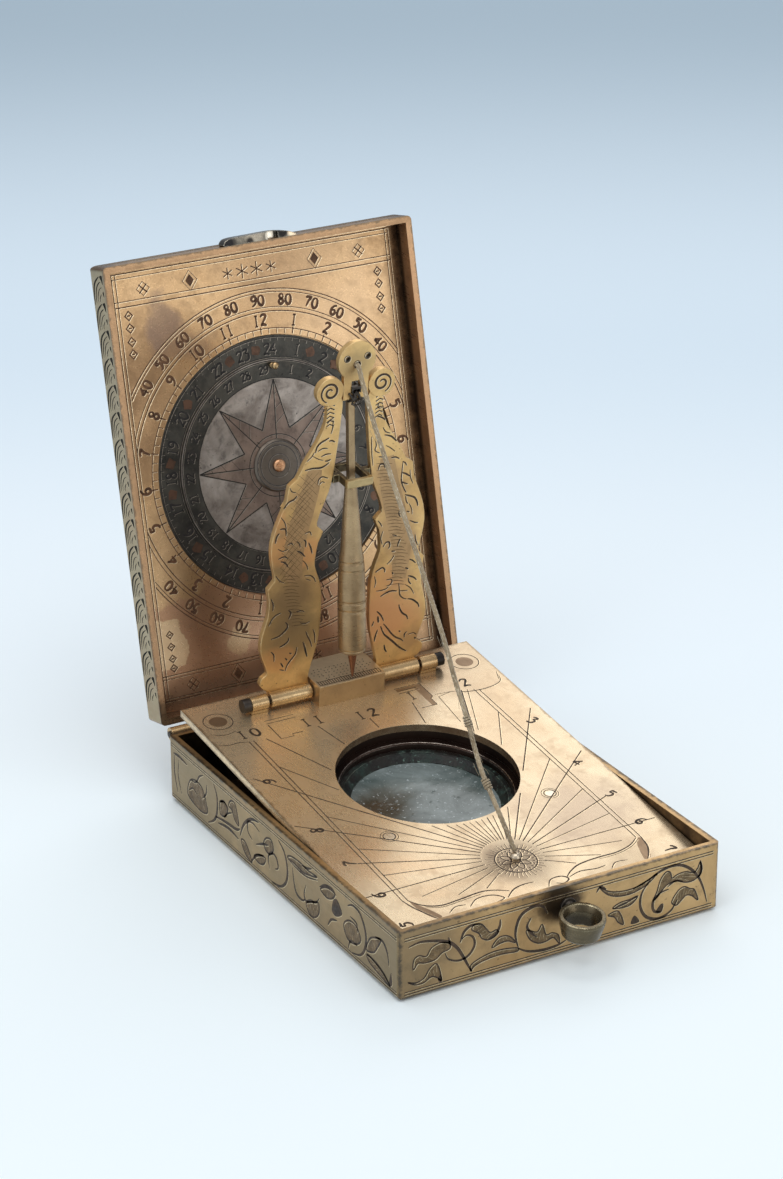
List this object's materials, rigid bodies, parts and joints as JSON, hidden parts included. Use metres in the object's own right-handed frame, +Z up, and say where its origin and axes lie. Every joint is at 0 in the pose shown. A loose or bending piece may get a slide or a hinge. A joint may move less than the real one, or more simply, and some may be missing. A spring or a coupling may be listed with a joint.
{
  "type": "inclining sundial",
  "caption": "Pocket sundial in a hinged metal case: tilting dial plate over a compass, folding string support between two dolphins, plumb bob, lid with turning calendar discs.",
  "frame": {"origin": "centre of the case's flat underside", "axes": "+X to the right, +Y toward the lid's hinge, +Z up"},
  "size_m": [0.064, 0.1213, 0.0988],
  "materials": {
    "gilt_case": "worn gilt brass",
    "gilt_lid": "worn gilt brass",
    "gilt_plate": "worn gilt brass",
    "dull_brass": "worn gilt brass",
    "cast_brass": "worn gilt brass",
    "olive_brass": "worn gilt brass",
    "copper": "worn gilt brass",
    "dark_iron": "dark worn iron",
    "silvered_disc": "worn gilt brass",
    "bowl_brass": "worn gilt brass",
    "green_ring": "worn gilt brass",
    "cloudy_glass": "clouded old glass",
    "card": "matt painted metal",
    "blue_steel": "blued steel",
    "cap_brass": "worn gilt brass",
    "hemp": "twisted hemp"
  },
  "bodies": {
    "case": {"case_tray": "gilt_case", "plate_rests": "gilt_plate", "front_lugs": "gilt_plate", "plate_hinge_pin": "dark_iron", "cord_ring": "gilt_case", "ring_stud": "dark_iron", "case_knuckles": "gilt_lid", "lid_hinge_pin": "dark_iron"},
    "lid": {"lid_tray": "gilt_lid", "lid_knuckles": "gilt_lid", "lid_dial": "gilt_lid", "lid_catch": "gilt_lid", "disc_axle": "copper", "boss_washer": "dull_brass"},
    "hour_disc": {"hour_disc": "silvered_disc"},
    "star_disc": {"star_disc": "silvered_disc", "index_knob": "dull_brass"},
    "plate": {"dial_plate": "gilt_plate", "plate_knuckles": "gilt_plate", "box_rivets": "gilt_plate", "scale_block": "dull_brass", "end_knuckles": "gilt_plate", "support_pin": "dark_iron", "compass_box": "bowl_brass", "glass_bezel": "bowl_brass", "retaining_ring": "green_ring", "compass_glass": "cloudy_glass", "compass_card": "card", "needle_pivot": "dark_iron", "string_bead": "dull_brass", "gnomon_string": "hemp"},
    "needle": {"compass_needle": "blue_steel", "needle_cap": "cap_brass"},
    "support": {"left_dolphin": "cast_brass", "right_dolphin": "cast_brass", "support_head": "cast_brass", "support_knuckles": "cast_brass", "bob_guard": "cast_brass", "bob_hook": "dark_iron", "string_knot": "hemp"},
    "bob": {"bob_rod": "olive_brass", "bob_body": "olive_brass", "bob_tip": "dark_iron"}
  },
  "joints": [
    {"name": "lid_hinge", "type": "hinge", "parent": "case", "child": "lid", "pos_m": [0, 0.04445, 0.01233], "axis": [1, 0, 0], "range_deg": [0, 24]},
    {"name": "hour_disc_turn", "type": "hinge", "parent": "lid", "child": "hour_disc", "pos_m": [0, 0.05908, 0.05492], "axis": [0, -0.9763, 0.2164], "continuous": true},
    {"name": "star_disc_turn", "type": "hinge", "parent": "lid", "child": "star_disc", "pos_m": [0, 0.05908, 0.05492], "axis": [0, -0.9763, 0.2164], "continuous": true},
    {"name": "plate_tilt", "type": "hinge", "parent": "case", "child": "plate", "pos_m": [0, -0.0406, 0.0094], "axis": [1, 0, 0], "range_deg": [-6.2, 24]},
    {"name": "needle_spin", "type": "hinge", "parent": "plate", "child": "needle", "pos_m": [0, 0.00348, 0.0073], "axis": [0, -0.108, 0.9942], "continuous": true},
    {"name": "gnomon_fold", "type": "hinge", "parent": "plate", "child": "support", "pos_m": [0, 0.03399, 0.02002], "axis": [1, 0, 0], "range_deg": [0, 64], "deforming": ["gnomon_string"]},
    {"name": "bob_swing", "type": "hinge", "parent": "support", "child": "bob", "pos_m": [0, 0.0304, 0.07902], "axis": [1, 0, 0], "range_deg": [-5.8, 8.2]}
  ]
}
